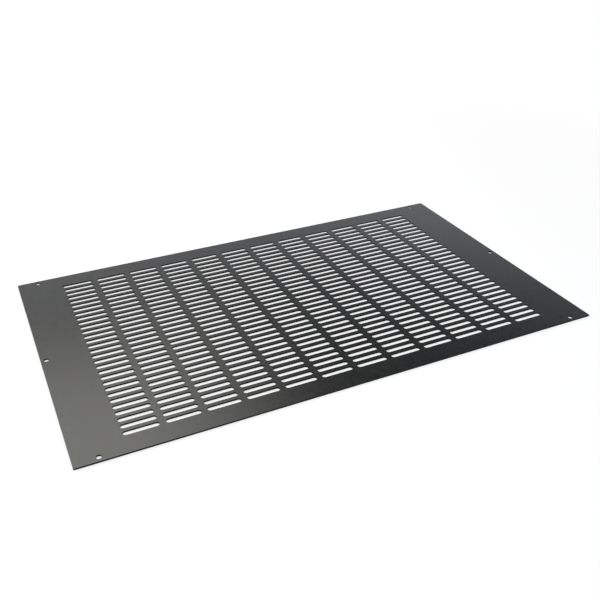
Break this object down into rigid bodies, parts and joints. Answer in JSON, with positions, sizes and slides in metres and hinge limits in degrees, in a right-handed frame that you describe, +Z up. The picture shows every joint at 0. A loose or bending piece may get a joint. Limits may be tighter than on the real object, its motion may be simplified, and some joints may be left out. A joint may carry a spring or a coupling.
{
  "type": "slotted sheet metal vent panel",
  "caption": "Flat rectangular sheet metal panel, black finish, punched with a wide grid of round-ended air slots and small screw holes near its edges.",
  "frame": {"origin": "centre of the sheet's underside", "axes": "+X along the sheet's length, +Y along its width, +Z up out of its top face"},
  "size_m": [0.4, 0.24, 0.0012],
  "materials": {
    "powder_coat": "satin black, fine texture"
  },
  "bodies": {
    "root": {"vent_panel": "powder_coat"}
  },
  "joints": []
}
